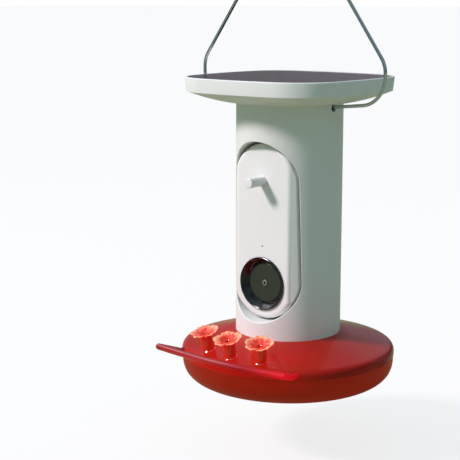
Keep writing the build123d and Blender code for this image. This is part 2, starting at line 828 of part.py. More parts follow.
# Bail: one wire, bent the same way on both sides
bail_axis_height = column_top - bail_axis_drop
bail_end_x = column_radius - bail_end_depth
bail_bend_x = column_radius + bail_bend_gap
bail_half_width = roof_half + bail_side_gap
with BuildPart() as bail:
    with BuildLine(Plane.XZ) as bail_route:
        end = Line((bail_end_x, bail_axis_height), (bail_bend_x, bail_axis_height))
        bend = JernArc(end @ 1, (1, 0), bail_bend_radius, bail_run_slope)
        side_start_x = bail_half_width - bail_side_turn * (1 - sin(radians(bail_run_slope)))
        bend_out = bail_bend_x + bail_bend_radius * sin(radians(bail_run_slope))
        run = PolarLine(bend @ 1, (side_start_x - bend_out) / cos(radians(bail_run_slope)), bail_run_slope)
        side = JernArc(run @ 1, run % 1, bail_side_turn, 90 - bail_run_slope)
        straight = Line(side @ 1, (side @ 1) + (0, bail_straight))
        lean = JernArc(straight @ 1, (0, 1), bail_lean_turn, bail_lean)
        lean_x = bail_half_width - bail_lean_turn * (1 - cos(radians(bail_lean)))
        leg_length = (lean_x - bail_top_turn * cos(radians(bail_lean))) / sin(radians(bail_lean))
        leg = PolarLine(lean @ 1, leg_length, 90 + bail_lean)
        JernArc(leg @ 1, leg % 1, bail_top_turn, 90 - bail_lean)
    with BuildSketch(Plane.YZ.offset(bail_end_x)):
        with Locations((0, bail_axis_height)):
            Circle(wire_radius)
    sweep(path=bail_route.line)
    mirror(about=Plane.YZ)
save(bail.part, "bail")


def module_block(inset, face_round):
    """Solid of the camera module's outside, shrunk by an inset all round."""
    with BuildPart() as block:
        with BuildSketch(Plane.XZ.offset(inset - module_back_y)):
            add(pill(module_lower_radius - inset, module_upper_radius - inset))
        extrude(amount=module_back_y + module_face_y - 2 * inset)
        with BuildSketch(Plane.XY.offset(foot_height)):
            Circle(module_radius - inset)
        extrude(amount=column_top - foot_height, mode=Mode.INTERSECT)
        front = block.faces().sort_by(Axis.Y)[0]
        fillet(front.edges(), face_round)
    return block.part


# Places of the four screw bosses at the wall inside the module
boss_places = []
for side in (-1, 1):
    across = side * sin(radians(module_boss_angle))
    boss_places.append((lower_boss_reach * across, bay_lower_height - lower_boss_drop))
    boss_places.append((upper_boss_reach * across, bay_upper_height + upper_boss_rise))
face_inside_y = module_face_y - module_wall
rear_inside_y = module_back_y - module_wall
rear_split_y = module_split_y - gasket_thickness
module_length = bay_upper_height - bay_lower_height + 2 * bay_lower_radius
module_screw_reach = module_screw_length - (module_back_y - module_head_sink) - module_split_y
main_board_y = face_inside_y - cell_front_gap - 2 * cell_radius - cell_gap - cradle_floor
main_board_width = 2 * (module_upper_radius - module_wall - main_board_side_gap)
main_board_bottom = bay_lower_height - lower_boss_drop + module_boss_radius + board_boss_gap
main_board_top = bay_upper_height + upper_boss_rise - module_boss_radius - board_boss_gap
board_post_x = main_board_width / 2 - board_post_inset
board_post_heights = (main_board_bottom + board_post_low_inset, main_board_top - board_post_high_inset)
cell_spacing = 2 * (cell_radius + cell_gap) + cell_web
cell_y = main_board_y + cradle_floor + cell_gap + cell_radius
knob_screw_depth = screw_length - module_wall + screw_tip_gap
bezel_body_radius = bezel_radius - bezel_step
bezel_throat_radius = bezel_radius - bezel_edge - bezel_cone_width
bezel_lip_radius = bezel_throat_radius - bezel_lip_width
barrel_flange_radius = bezel_body_radius - barrel_flange_gap

# Front cover of the camera module
with BuildPart() as module_front_cover:
    add(module_block(0, module_face_round))
    add(module_block(module_wall, module_face_round - module_wall), mode=Mode.SUBTRACT)
    with BuildSketch(Plane.XZ.offset(module_split_y)):
        with Locations(*boss_places):
            Circle(module_boss_radius)
    extrude(amount=face_inside_y - module_boss_face_gap - module_split_y)
    with BuildSketch(Plane.XZ.offset(-module_back_y)):
        with Locations((0, bay_middle_height)):
            Rectangle(2 * module_radius, module_length)
    extrude(amount=module_back_y + module_split_y, mode=Mode.SUBTRACT)
    with BuildSketch(Plane.XZ.offset(module_split_y)):
        with Locations(*boss_places):
            Circle(screw_radius + screw_gap)
    extrude(amount=module_screw_reach + screw_tip_gap, mode=Mode.SUBTRACT)
    with BuildSketch(Plane.XZ.offset(face_inside_y)):
        with Locations((0, lens_height)):
            Circle(bezel_body_radius + bezel_gap)
        with Locations((0, mic_height)):
            Circle(mic_hole_radius)
        with Locations((0, bay_upper_height)):
            Circle(screw_radius + screw_gap)
    extrude(amount=module_wall, mode=Mode.SUBTRACT)
save(module_front_cover.part, "module_front_cover")

# Rear cover of the camera module, with the posts of its main board
with BuildPart() as module_rear_cover:
    with BuildSketch(Plane.XZ.offset(-module_back_y)):
        add(pill(module_lower_radius, module_upper_radius))
    extrude(amount=module_back_y + rear_split_y)
    with BuildSketch(Plane.XZ.offset(-rear_inside_y)):
        add(pill(module_lower_radius - module_wall, module_upper_radius - module_wall))
    extrude(amount=rear_inside_y + rear_split_y, mode=Mode.SUBTRACT)
    with BuildSketch(Plane.XZ.offset(-rear_inside_y)):
        with Locations(*boss_places):
            Circle(module_boss_radius)
    extrude(amount=rear_inside_y + rear_split_y)
    with BuildSketch(Plane.XZ.offset(-module_back_y)):
        with Locations(*boss_places):
            Circle(screw_radius + screw_gap)
    extrude(amount=module_back_y + rear_split_y, mode=Mode.SUBTRACT)
    with BuildSketch(Plane.XZ.offset(-module_back_y)):
        with Locations(*boss_places):
            Circle(screw_head_radius + screw_head_gap)
    extrude(amount=module_head_sink, mode=Mode.SUBTRACT)
    for height in board_post_heights:
        with BuildSketch(Plane.XZ.offset(-rear_inside_y)):
            with Locations((-board_post_x, height), (board_post_x, height)):
                Circle(board_post_radius)
        extrude(amount=rear_inside_y + main_board_y - board_thickness)
        with BuildSketch(Plane.XZ.offset(-rear_inside_y)):
            with Locations((-board_post_x, height), (board_post_x, height)):
                Circle(board_pin_radius)
        extrude(amount=rear_inside_y + main_board_y)
save(module_rear_cover.part, "module_rear_cover")

# Gasket between the two covers
with BuildPart() as module_gasket:
    with BuildSketch(Plane.XZ.offset(rear_split_y)):
        add(pill(module_lower_radius - gasket_sink, module_upper_radius - gasket_sink))
        inner_sink = gasket_sink + gasket_width
        add(
            pill(module_lower_radius - inner_sink, module_upper_radius - inner_sink),
            mode=Mode.SUBTRACT,
        )
    extrude(amount=gasket_thickness)
save(module_gasket.part, "module_gasket")

# Screws that close the module from behind
with BuildPart() as module_screws:
    for x, z in boss_places:
        seat_y = module_back_y - module_head_sink
        add(screw((x, seat_y, z), Vector(0, 1, 0), module_screw_length))
save(module_screws.part, "module_screws")

# Contact pads on the module's back
with BuildPart() as contact_pads:
    with BuildSketch(Plane.XZ.offset(-module_back_y)):
        with Locations(*contact_places):
            Circle(contact_pad_radius)
    extrude(amount=-contact_pad_thickness)
save(contact_pads.part, "contact_pads")


def turned(points, label):
    """Turned piece on the lens axis. Points are pairs of radius and depth behind the face."""
    with BuildPart() as piece:
        with BuildSketch(Plane.XY.offset(lens_height)):
            with BuildLine():
                Polyline(*[(radius, depth - module_face_y) for radius, depth in points], close=True)
            make_face()
        revolve(axis=Axis((0, 0, lens_height), (0, 1, 0)))
    save(piece.part, label)


# Lens ring, its window and the lens barrel
window_front = bezel_throat_depth - bezel_flange
window_back = window_front + window_thickness
bezel_depth = window_back + bezel_lip_thickness
nose_front = window_front - barrel_nose_proud
barrel_front = bezel_depth - barrel_reach
barrel_back = bezel_depth + barrel_length
turned(
    [
        (bezel_radius - bezel_edge, -bezel_flange),
        (bezel_radius, bezel_edge - bezel_flange),
        (bezel_radius, 0),
        (bezel_body_radius, 0),
        (bezel_body_radius, bezel_depth),
        (bezel_lip_radius, bezel_depth),
        (bezel_lip_radius, window_back),
        (bezel_throat_radius, window_back),
        (bezel_throat_radius, window_front),
    ],
    "lens_bezel",
)
turned(
    [
        (window_hole_radius, window_front),
        (bezel_throat_radius - window_gap, window_front),
        (bezel_throat_radius - window_gap, window_back),
        (window_hole_radius, window_back),
    ],
    "lens_window",
)
turned(
    [
        (0, nose_front),
        (barrel_nose_radius, nose_front),
        (barrel_nose_radius, barrel_front),
        (barrel_radius, barrel_front),
        (barrel_radius, bezel_depth),
        (barrel_flange_radius, bezel_depth),
        (barrel_flange_radius, bezel_depth + barrel_flange),
        (barrel_radius, bezel_depth + barrel_flange),
        (barrel_radius, barrel_back),
        (0, barrel_back),
    ],
    "lens_barrel",
)

# Sensor board behind the lens barrel
with BuildPart() as sensor_board:
    with BuildSketch(Plane.XZ.offset(module_face_y - barrel_back)):
        with Locations((0, lens_height)):
            Rectangle(sensor_board_size, sensor_board_size)
    extrude(amount=-board_thickness)
save(sensor_board.part, "sensor_board")

# Main board on the rear cover's posts
with BuildPart() as main_board:
    with BuildSketch(Plane.XZ.offset(main_board_y)):
        with Locations((0, (main_board_bottom + main_board_top) / 2)):
            Rectangle(main_board_width, main_board_top - main_board_bottom)
        for height in board_post_heights:
            with Locations((-board_post_x, height), (board_post_x, height)):
                Circle(board_pin_radius + bay_fit, mode=Mode.SUBTRACT)
    extrude(amount=-board_thickness)
save(main_board.part, "main_board")

# Two battery cells and the cradle that holds them on the board
cell_middle = (cell_bottom + cell_top) / 2
with BuildPart() as battery_cells:
    with BuildSketch(Plane.XY.offset(cell_bottom)):
        with Locations((-cell_spacing / 2, -cell_y), (cell_spacing / 2, -cell_y)):
            Circle(cell_radius)
    extrude(amount=cell_length)
save(battery_cells.part, "battery_cells")

with BuildPart() as battery_cradle:
    with BuildSketch(Plane.XZ.offset(main_board_y)):
        with Locations((0, cell_middle)):
            Rectangle(2 * cell_spacing + cradle_wall, cell_length + 2 * cell_gap + 2 * cradle_wall)
    extrude(amount=cradle_thickness)
    with BuildSketch(Plane.XY.offset(cell_bottom - cell_gap)):
        with Locations((-cell_spacing / 2, -cell_y), (cell_spacing / 2, -cell_y)):
            Circle(cell_radius + cell_gap)
    extrude(amount=cell_length + 2 * cell_gap, mode=Mode.SUBTRACT)
save(battery_cradle.part, "battery_cradle")

# Seal behind the microphone hole
with BuildPart() as mic_seal:
    with BuildSketch(Plane.XZ.offset(face_inside_y)):
        with Locations((0, mic_height)):
            Circle(mic_seal_radius)
            Circle(mic_hole_radius, mode=Mode.SUBTRACT)
    extrude(amount=-mic_seal_depth)
save(mic_seal.part, "mic_seal")

# Knob that pulls the module out, and its screw
with BuildPart() as pull_knob:
    with BuildSketch(Plane.XZ.offset(module_face_y)):
        with Locations((0, bay_upper_height)):
            Circle(knob_radius)
    extrude(amount=knob_length)
    fillet(pull_knob.edges().sort_by(Axis.Y)[0], knob_edge_round)
    with BuildSketch(Plane.XZ.offset(module_face_y)):
        with Locations((0, bay_upper_height)):
            Circle(screw_radius + screw_gap)
    extrude(amount=knob_screw_depth, mode=Mode.SUBTRACT)
save(pull_knob.part, "pull_knob")

knob_screw = screw((0, -face_inside_y, bay_upper_height), Vector(0, 1, 0), screw_length)
save(knob_screw, "knob_screw")
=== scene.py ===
"""Looks of a hanging hummingbird feeder with a camera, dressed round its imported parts.

Lengths below are millimetres unless a comment says metres, and the code turns them to metres.
The origin is the centre of the flat under the bowl, +Z is up and the camera looks along -Y.
"""

import json
from math import cos, pi, radians, sin, tan

import bmesh
import bpy
from mathutils import Matrix, Vector


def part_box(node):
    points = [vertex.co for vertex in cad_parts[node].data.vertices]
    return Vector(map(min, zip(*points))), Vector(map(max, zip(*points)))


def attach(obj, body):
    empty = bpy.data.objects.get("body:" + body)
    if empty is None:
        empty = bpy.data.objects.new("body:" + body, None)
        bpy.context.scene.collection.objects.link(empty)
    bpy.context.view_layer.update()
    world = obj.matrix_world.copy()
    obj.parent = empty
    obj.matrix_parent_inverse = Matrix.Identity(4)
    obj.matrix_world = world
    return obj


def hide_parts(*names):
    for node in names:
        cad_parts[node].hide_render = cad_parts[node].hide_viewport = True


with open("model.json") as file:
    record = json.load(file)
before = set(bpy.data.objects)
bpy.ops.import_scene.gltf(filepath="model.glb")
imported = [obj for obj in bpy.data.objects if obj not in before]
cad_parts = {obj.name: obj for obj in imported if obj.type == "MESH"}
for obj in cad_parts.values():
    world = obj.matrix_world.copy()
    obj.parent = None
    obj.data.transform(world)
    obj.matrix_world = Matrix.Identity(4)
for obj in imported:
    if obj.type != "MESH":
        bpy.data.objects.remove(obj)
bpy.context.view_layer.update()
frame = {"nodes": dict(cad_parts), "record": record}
nodes = frame["nodes"]
bodies = frame["record"]["behaviour"]["bodies"]
body_of_node = {node: body for body, members in bodies.items() for node in members}

MM = 0.001

# Flower ports: where they stand on the lid's slope, and their turned sizes
lid_slope = 14.8
port_circle = 81
port_spacing = 20.606
port_lid_height = 37.966
port_sink = 0.6
port_petal_starts = (62, 53, 41)
port_flange_radius = 6
port_flange_height = 1.2
port_neck_radius = 5.2
port_collar_radius = 5.8
port_collar_rise = 5.1
port_collar_top = 15
port_tube_radius = 3.9
port_tube_length = 12
port_bore_radius = 2
port_rim_height = 19.2
petal_count = 5
petal_half_angle = 41
petal_tip_radius = 12.7
petal_root_radius = 2.8
petal_thickness = 0.8
petal_overlap = 0.5
petal_wave = 0.6
petal_wave_level = 0.6
petal_ruffle = 0.4
petal_ruffle_waves = 3
petal_lobe_power = 2.6
petal_lobe_bluntness = 0.7
petal_bell_share = 0.6
petal_flare_power = 1.4
petal_points_across = 20
petal_points_along = 12
port_edge = 0.4
# Tip radius, valley radius and rim height of the outer petals and of the small inner ones
petal_rings = ((petal_tip_radius, 9, port_rim_height), (8.2, 6.2, 18.6))

# Bail: one bent wire
wire_radius = 1.5
bail_axis_height = 247.8
bail_end_x = 36
bail_bend_x = 48.5
bail_bend_radius = 12
bail_run_slope = 5.8
bail_half_width = 97.1
bail_side_turn = 24
bail_straight = 3
bail_lean_turn = 22.5
bail_lean = 35.5
bail_top_turn = 14
wire_sides = 20
wire_step = 1.2
rod_crease = 40

# Lens: radii, and depths behind the module's face
module_face_y = 37.7
lens_height = 94.4
bezel_radius = 23.4
bezel_body_radius = 20.8
bezel_throat_radius = 17.2
bezel_lip_radius = 15.4
bezel_flange = 2
bezel_depth = 9.05
window_front = 3.95
window_back = 5.55
window_hole_radius = 3
lens_front = 3.55
lens_rim_radius = 2.65
lens_dome_radius = 1.3

# Camera fitted to the photograph, and the two lights. Places are metres and turns are degrees
camera_lens = 96.54
camera_place = (0.6447, -0.8622, 0.3372)
camera_tilt = 79.418
camera_turn = 39.557
key_strength = 3.15
key_softness = 11
key_aim = (12.6, 20, -17.9)
window_size = 0.9
window_strength = 5
window_place = (-1.25, -0.32, 1.06)

# Perch: along X, where its polish ends, and where its wear is full, its painted glow starts and is full
perch_polished_to = -30
perch_worn_from = 30
perch_glow_from = 30
perch_glow_to = 85

# Surface patterns in millimetres, and the distances in metres under which points are merged
cloud_size = 45
wear_size = 7.5
weld = 1e-6
fine_weld = 1e-7


def linear(code):
    """Linear colour of an sRGB hex code."""
    shares = [int(code[i : i + 2], 16) / 255 for i in (1, 3, 5)]
    return [s / 12.92 if s <= 0.04045 else ((s + 0.055) / 1.055) ** 2.4 for s in shares] + [1]


def set_inputs(tree, node, inputs):
    """Gives sockets, by name or number, a value or a link."""
    for name, value in inputs.items():
        if isinstance(value, bpy.types.NodeSocket):
            tree.links.new(value, node.inputs[name])
        else:
            node.inputs[name].default_value = value


def add_node(tree, kind, inputs=None, **settings):
    """Adds one node with its settings and inputs."""
    made = tree.nodes.new(kind)
    for name, value in settings.items():
        setattr(made, name, value)
    set_inputs(tree, made, inputs or {})
    return made


def blend(tree, share, first, second):
    """Colour between two hex colours, or between a link and a hex colour."""
    ends = [linear(end) if isinstance(end, str) else end for end in (first, second)]
    return add_node(tree, "ShaderNodeMix", {0: share, 6: ends[0], 7: ends[1]}, data_type="RGBA").outputs[2]


def ranged(tree, value, low, high, to_low, to_high):
    """Value moved from one range to another, and held inside it."""
    inputs = {"Value": value, "From Min": low, "From Max": high, "To Min": to_low, "To Max": to_high}
    return add_node(tree, "ShaderNodeMapRange", inputs).outputs[0]


def mottle(tree, place, size, detail=2, **values):
    """Noise with patches of a size in millimetres."""
    inputs = {"Vector": place, "Scale": 1 / (size * MM), "Detail": detail, **values}
    return add_node(tree, "ShaderNodeTexNoise", inputs).outputs[0]


def relief(tree, height, strength, depth):
    """Surface relief of a depth in millimetres."""
    inputs = {"Height": height, "Strength": strength, "Distance": depth * MM}
    return add_node(tree, "ShaderNodeBump", inputs).outputs[0]


def linked(name, data):
    """New object with its data, linked to the scene."""
    made = bpy.data.objects.new(name, data)
    bpy.context.scene.collection.objects.link(made)
    return made


# Camera at the photograph's viewing angle
camera_data = bpy.data.cameras.new("camera")
camera_data.lens = camera_lens
camera_data.sensor_width = 36
camera_data.clip_start = 0.05
camera_data.clip_end = 100
camera = linked("camera", camera_data)
camera.location = camera_place
camera.rotation_euler = (radians(camera_tilt), 0, radians(camera_turn))
bpy.context.scene.camera = camera
bpy.context.scene.view_settings.view_transform = "Standard"

# Key light from the front left. It leans to pink, because the surround leans to green.
key_data = bpy.data.lights.new("key", "SUN")
key_data.energy = key_strength
key_data.angle = radians(key_softness)
key_data.color = linear("#FDF0F8")[:3]
key = linked("key", key_data)
key.rotation_euler = Vector(key_aim).to_track_quat("-Z", "Y").to_euler()

# Large soft window on the left. It gives the perch and the wire their long soft highlights.
window_data = bpy.data.lights.new("window", "AREA")
window_data.shape = "DISK"
window_data.size = window_size
window_data.energy = window_strength
window_data.color = linear("#FFF4F2")[:3]
window = linked("window", window_data)
window.location = window_place
window.rotation_euler = (-window.location).to_track_quat("-Z", "Y").to_euler()

# Surround: dark green at the horizon in front, mauve grey behind, paler overhead, and plain white
# where the camera sees it
surround = bpy.data.worlds.new("surround")
surround.use_nodes = True
sky = surround.node_tree
sky.nodes.clear()
aim = add_node(sky, "ShaderNodeTexCoord").outputs["Generated"]
aim_shares = add_node(sky, "ShaderNodeSeparateXYZ", {0: aim}).outputs
behind = ranged(sky, aim_shares["Y"], 0.25, 0.7, 0, 1)
horizon = blend(sky, behind, "#44606A", "#92838A")
tint = blend(sky, aim_shares["Z"], horizon, "#A3C2CF")
clouds = add_node(sky, "ShaderNodeTexNoise", {"Vector": aim, "Scale": 2.2, "Detail": 1})
gleam = ranged(sky, clouds.outputs[0], 0.35, 0.65, 0.35, 1.65)
fill = add_node(sky, "ShaderNodeBackground", {"Color": tint, "Strength": gleam})
backdrop = add_node(sky, "ShaderNodeBackground", {"Color": linear("#FFFFFF"), "Strength": 1.0})
seen = add_node(sky, "ShaderNodeLightPath").outputs["Is Camera Ray"]
mixed = add_node(sky, "ShaderNodeMixShader", {0: seen, 1: fill.outputs[0], 2: backdrop.outputs[0]})
add_node(sky, "ShaderNodeOutputWorld", {0: mixed.outputs[0]})
bpy.context.scene.world = surround


def new_material(name):
    """Empty material: its tree, its shader and its object coordinates."""
    made = bpy.data.materials.new(name)
    made.use_nodes = True
    tree = made.node_tree
    tree.nodes.clear()
    shader = add_node(tree, "ShaderNodeBsdfPrincipled")
    add_node(tree, "ShaderNodeOutputMaterial", {0: shader.outputs[0]})
    place = add_node(tree, "ShaderNodeTexCoord").outputs["Object"]
    return made, tree, shader, place


def moulded(name, colour, shade, roughness, grain, grain_depth, **shader_values):
    """Moulded plastic or rubber: two close tones in slow clouds, a spark-eroded grain and
    a roughness that varies where hands and weather have been. The grain is in millimetres."""
    made, tree, shader, place = new_material(name)
    tone = blend(tree, mottle(tree, place, cloud_size, 3), colour, shade)
    gloss = ranged(tree, mottle(tree, place, wear_size, 4), 0.3, 0.7, roughness - 0.04, roughness + 0.05)
    spark = relief(tree, mottle(tree, place, grain, 2, Roughness=0.6), 0.35, grain_depth)
    set_inputs(tree, shader, {"Base Color": tone, "Roughness": gloss, "Normal": spark})
    for socket, value in shader_values.items():
        shader.inputs[socket.replace("_", " ")].default_value = value
    return made


# ABS of the column and roof, injection moulded in a spark-eroded tool: a soft satin white
column_abs = moulded("abs_satin_white", "#E9E9E5", "#E3E4DF", 0.42, 0.9, 0.03)
# ABS of the camera module, from a finer tool: a little smoother and whiter
module_abs = moulded("abs_fine_white", "#EDECEA", "#E8E7E4", 0.36, 0.6, 0.015)
# Polypropylene of the lid, moulded: deep red with a soft sheen
lid_red = moulded("polypropylene_red_lid", "#B22014", "#A41B10", 0.17, 1.1, 0.01, Specular_IOR_Level=0.16)
# The bowl has a painted glow: a faint even red emission stands in for the light that its thin wall scatters
# round to its shaded side
bowl_red = moulded(
    "polypropylene_red_bowl",
    "#760E00",
    "#6A0B00",
    0.4,
    1.1,
    0.015,
    Specular_IOR_Level=0.2,
    Emission_Strength=0.13,
    Emission_Color=linear("#FF3800"),
)
# Polycarbonate of the lens ring, polished tool: near-black gloss
bezel_black = moulded("polycarbonate_black", "#0E0E0F", "#121213", 0.16, 0.5, 0.004)
# Nylon of cradle, junction box and contact block, and the sleeve of the lead: matt black
nylon_black = moulded("nylon_black", "#191919", "#202020", 0.55, 0.7, 0.02)
# Silicone of the seals, compression moulded: dull black
seal_rubber = moulded("silicone_black", "#1C1C1C", "#242424", 0.7, 0.6, 0.02)


def output_of(tree):
    """Output node of a material."""
    return next(n for n in tree.nodes if n.type == "OUTPUT_MATERIAL")


def pale_shadow(tree, shader, colour):
    """Lets a see-through moulding throw a pale tinted shadow instead of a black one."""
    light = add_node(tree, "ShaderNodeBsdfTransparent", {"Color": linear(colour)})
    ray = add_node(tree, "ShaderNodeLightPath").outputs["Is Shadow Ray"]
    mixed = add_node(tree, "ShaderNodeMixShader", {0: ray, 1: shader.outputs[0], 2: light.outputs[0]})
    tree.links.new(mixed.outputs[0], output_of(tree).inputs[0])


# Soft PVC of the flower ports, moulded clear with a coral tint: deep where it is thick, and pale yellow
# at the rims of the petals, partly the thin rims' own tint and partly painted backlight
port_coral, port_tree, port_shader, port_place = new_material("pvc_clear_coral")
port_flow = mottle(port_tree, port_place, 4, 3)
# Noise that shifts the tint: random tone, with pale spots that are painted glints
port_tone_and_glints = ranged(port_tree, port_flow, 0.3, 0.7, -0.3, 0.3)
port_share = add_node(port_tree, "ShaderNodeAttribute", attribute_name="rim_share").outputs["Fac"]
port_rim_and_glints = add_node(port_tree, "ShaderNodeMath", {0: port_share, 1: port_tone_and_glints}, operation="ADD")
port_ramp = add_node(port_tree, "ShaderNodeValToRGB", {0: port_rim_and_glints.outputs[0]})
port_ramp.color_ramp.elements[0].color = linear("#CE2614")
port_ramp.color_ramp.elements[1].color = linear("#FFD0A0")
for share, colour in ((0.35, "#DE4C34"), (0.65, "#F29A7C")):
    port_ramp.color_ramp.elements.new(share).color = linear(colour)
set_inputs(
    port_tree,
    port_shader,
    {
        "Base Color": port_ramp.outputs[0],
        "Normal": relief(port_tree, port_flow, 0.4, 0.25),
        "Roughness": 0.1,
        "IOR": 1.53,
        "Transmission Weight": 0.3,
        "Subsurface Weight": 0.4,
        "Subsurface Radius": (6 * MM, 2 * MM, 1 * MM),
        # A faint even red emission: a painted glow
        "Emission Color": linear("#FF4A2C"),
        "Emission Strength": 0.06,
    },
)
pale_shadow(port_tree, port_shader, "#FFB09C")

# Acrylic of the perch, extruded and bent: deep clear red with faint flow ripples. It has a painted
# glow that grows towards its right end, and it is polished on the left but rubbed dull by feet on the right
perch_acrylic, perch_tree, perch_shader, perch_place = new_material("acrylic_clear_red")
perch_flow = mottle(perch_tree, perch_place, 5)
perch_along = add_node(perch_tree, "ShaderNodeSeparateXYZ", {0: perch_place}).outputs["X"]
perch_wear = (perch_tree, perch_along, perch_polished_to * MM, perch_worn_from * MM)
perch_painted_glow = (perch_tree, perch_along, perch_glow_from * MM, perch_glow_to * MM)
set_inputs(
    perch_tree,
    perch_shader,
    {
        "Base Color": blend(perch_tree, perch_flow, "#A80218", "#920215"),
        "Normal": relief(perch_tree, perch_flow, 0.3, 0.2),
        "Roughness": ranged(*perch_wear, 0.22, 0.62),
        "Specular IOR Level": ranged(*perch_wear, 0.9, 0.12),
        "Transmission Weight": 0.3,
        "IOR": 1.49,
        # Emission that grows along X: a painted glow towards the right end
        "Emission Color": linear("#FF0A22"),
        "Emission Strength": ranged(*perch_painted_glow, 0.04, 0.5),
    },
)
pale_shadow(perch_tree, perch_shader, "#FF8C8C")


def metal(name, colour, shade, roughness, scratch, depth):
    """Bare metal with fine tool marks. Scratch is the marks' spacing in millimetres."""
    made, tree, shader, place = new_material(name)
    marks = mottle(tree, place, scratch, 5, Roughness=0.7)
    surface = {
        "Base Color": blend(tree, marks, colour, shade),
        "Roughness": ranged(tree, marks, 0.3, 0.7, roughness - 0.05, roughness + 0.08),
        "Normal": relief(tree, marks, 0.25, depth),
        "Metallic": 1,
    }
    set_inputs(tree, shader, surface)
    return made


# Stainless wire of the bail, drawn and wiped: bright grey with faint marks
bail_steel = metal("stainless_drawn_wire", "#D6D9DC", "#B4B7BA", 0.14, 1.2, 0.01)
# Stainless screws, cold headed: duller grey
screw_steel = metal("stainless_cold_headed", "#B0B0AE", "#9C9C9A", 0.3, 0.6, 0.01)
# Brass of contact pins and pads, turned and gold flashed: warm yellow
contact_brass = metal("brass_gold_flashed", "#D9B066", "#C79C52", 0.25, 0.5, 0.005)

# Epoxy glass board, green solder mask with copper tracks just showing through
board_green, board_tree, board_shader, board_place = new_material("board_green_mask")
tracks = add_node(
    board_tree,
    "ShaderNodeTexBrick",
    {
        "Vector": board_place,
        "Color1": linear("#14532D"),
        "Color2": linear("#175A31"),
        "Mortar": linear("#1F6F3D"),
        "Scale": 1 / (6 * MM),
        "Mortar Size": 0.02,
    },
)
set_inputs(board_tree, board_shader, {"Base Color": tracks.outputs["Color"], "Roughness": 0.3})

# Monocrystalline silicon, etched: blue-black with faint mottling
silicon, silicon_tree, silicon_shader, silicon_place = new_material("silicon_etched")
crystals = add_node(silicon_tree, "ShaderNodeTexVoronoi", {"Vector": silicon_place, "Scale": 1 / (4 * MM)})
wafer = blend(silicon_tree, crystals.outputs["Distance"], "#302F38", "#3A3944")
set_inputs(silicon_tree, silicon_shader, {"Base Color": wafer, "Roughness": 0.35})

# Patterned solar glass, rolled: clear with a fine prismatic texture that greys reflections
solar_glass, glass_tree, glass_shader, glass_place = new_material("glass_rolled_solar")
set_inputs(
    glass_tree,
    glass_shader,
    {
        "Normal": relief(glass_tree, mottle(glass_tree, glass_place, 1.2), 0.5, 0.05),
        "Base Color": linear("#B9BCC2"),
        "Transmission Weight": 1,
        "Roughness": 0.22,
        "IOR": 1.5,
    },
)

# Acrylic window in front of the lens, dyed smoke: dark, and a little hazy
window_smoke, smoke_tree, smoke_shader, smoke_place = new_material("acrylic_smoked")
dye = blend(smoke_tree, mottle(smoke_tree, smoke_place, 9, 3), "#23271F", "#2B2F26")
smoke_surface = {"Base Color": dye, "Roughness": 0.3, "Coat Weight": 0.4, "Coat Roughness": 0.1}
set_inputs(smoke_tree, smoke_shader, smoke_surface)

# Coated glass of the small front lens: a dark, sharply reflecting dot
lens_glass, lens_tree, lens_shader, lens_place = new_material("glass_coated_lens")
coating = blend(lens_tree, mottle(lens_tree, lens_place, 3), "#101418", "#1A2230")
set_inputs(lens_tree, lens_shader, {"Base Color": coating, "Roughness": 0.05})

# Heat-shrunk sleeve of the battery cells: smooth blue
cell_sleeve = moulded("pvc_heat_shrunk", "#1F4E79", "#1B466D", 0.32, 1.5, 0.02)
# Anodised aluminium of the lens barrel: soft black
barrel_anodised = metal("aluminium_black_anodised", "#2B2B2C", "#222223", 0.35, 0.4, 0.01)
# Bright turned ring round the lens: a thin pale circle
ring_bright = metal("aluminium_turned_ring", "#C9CAC6", "#B9BAB6", 0.3, 0.4, 0.005)


def place_piece(name, mesh, node, material=None):
    """Links a finished mesh and lets it ride on the body of a solid."""
    piece = linked(name, mesh)
    if material:
        mesh.materials.clear()
        mesh.materials.append(material)
    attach(piece, body_of_node[node])
    return piece


def smoothed(node, material, crease=28):
    """Copy of a solid with its facets merged and shaded smooth up to its real creases."""
    source = nodes[node].data
    mesh = bpy.data.meshes.new(node + "_surface")
    mesh.from_pydata([v.co for v in source.vertices], [], [list(p.vertices) for p in source.polygons])
    work = bmesh.new()
    work.from_mesh(mesh)
    bmesh.ops.remove_doubles(work, verts=work.verts, dist=weld)
    work.to_mesh(mesh)
    work.free()
    mesh.shade_smooth()
    mesh.set_sharp_from_angle(angle=radians(crease))
    piece = place_piece(node + "_dressed", mesh, node, material)
    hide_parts(node)
    return piece


def evaluated_mesh(piece, name):
    """Plain mesh of a piece with its modifiers applied. The piece itself is removed."""
    graph = bpy.context.evaluated_depsgraph_get()
    mesh = bpy.data.meshes.new_from_object(piece.evaluated_get(graph))
    mesh.name = name
    bpy.data.objects.remove(piece)
    return mesh


def grown(source, tree, name, **values):
    """Runs a geometry tree on a mesh or curve and gives the plain mesh that it makes."""
    carrier = linked(name, source)
    modifier = carrier.modifiers.new("grow", "NODES")
    modifier.node_group = tree
    for item in tree.interface.items_tree:
        if item.item_type == "SOCKET" and item.in_out == "INPUT" and item.name in values:
            modifier[item.identifier] = values[item.name]
    return evaluated_mesh(carrier, name)


def new_tree(name, **inputs):
    """Empty geometry tree with named inputs and a material, and the sockets of its input node."""
    tree = bpy.data.node_groups.new(name, "GeometryNodeTree")
    tree.interface.new_socket("Geometry", in_out="INPUT", socket_type="NodeSocketGeometry")
    for socket, kind in inputs.items():
        tree.interface.new_socket(socket, in_out="INPUT", socket_type="NodeSocket" + kind)
    tree.interface.new_socket("Material", in_out="INPUT", socket_type="NodeSocketMaterial")
    tree.interface.new_socket("Geometry", in_out="OUTPUT", socket_type="NodeSocketGeometry")
    return tree, add_node(tree, "NodeGroupInput").outputs


def end_tree(tree, shape, material):
    """Ends a geometry tree with its material and its output."""
    finished = add_node(tree, "GeometryNodeSetMaterial", {"Geometry": shape, "Material": material})
    add_node(tree, "NodeGroupOutput", {0: finished.outputs[0]})


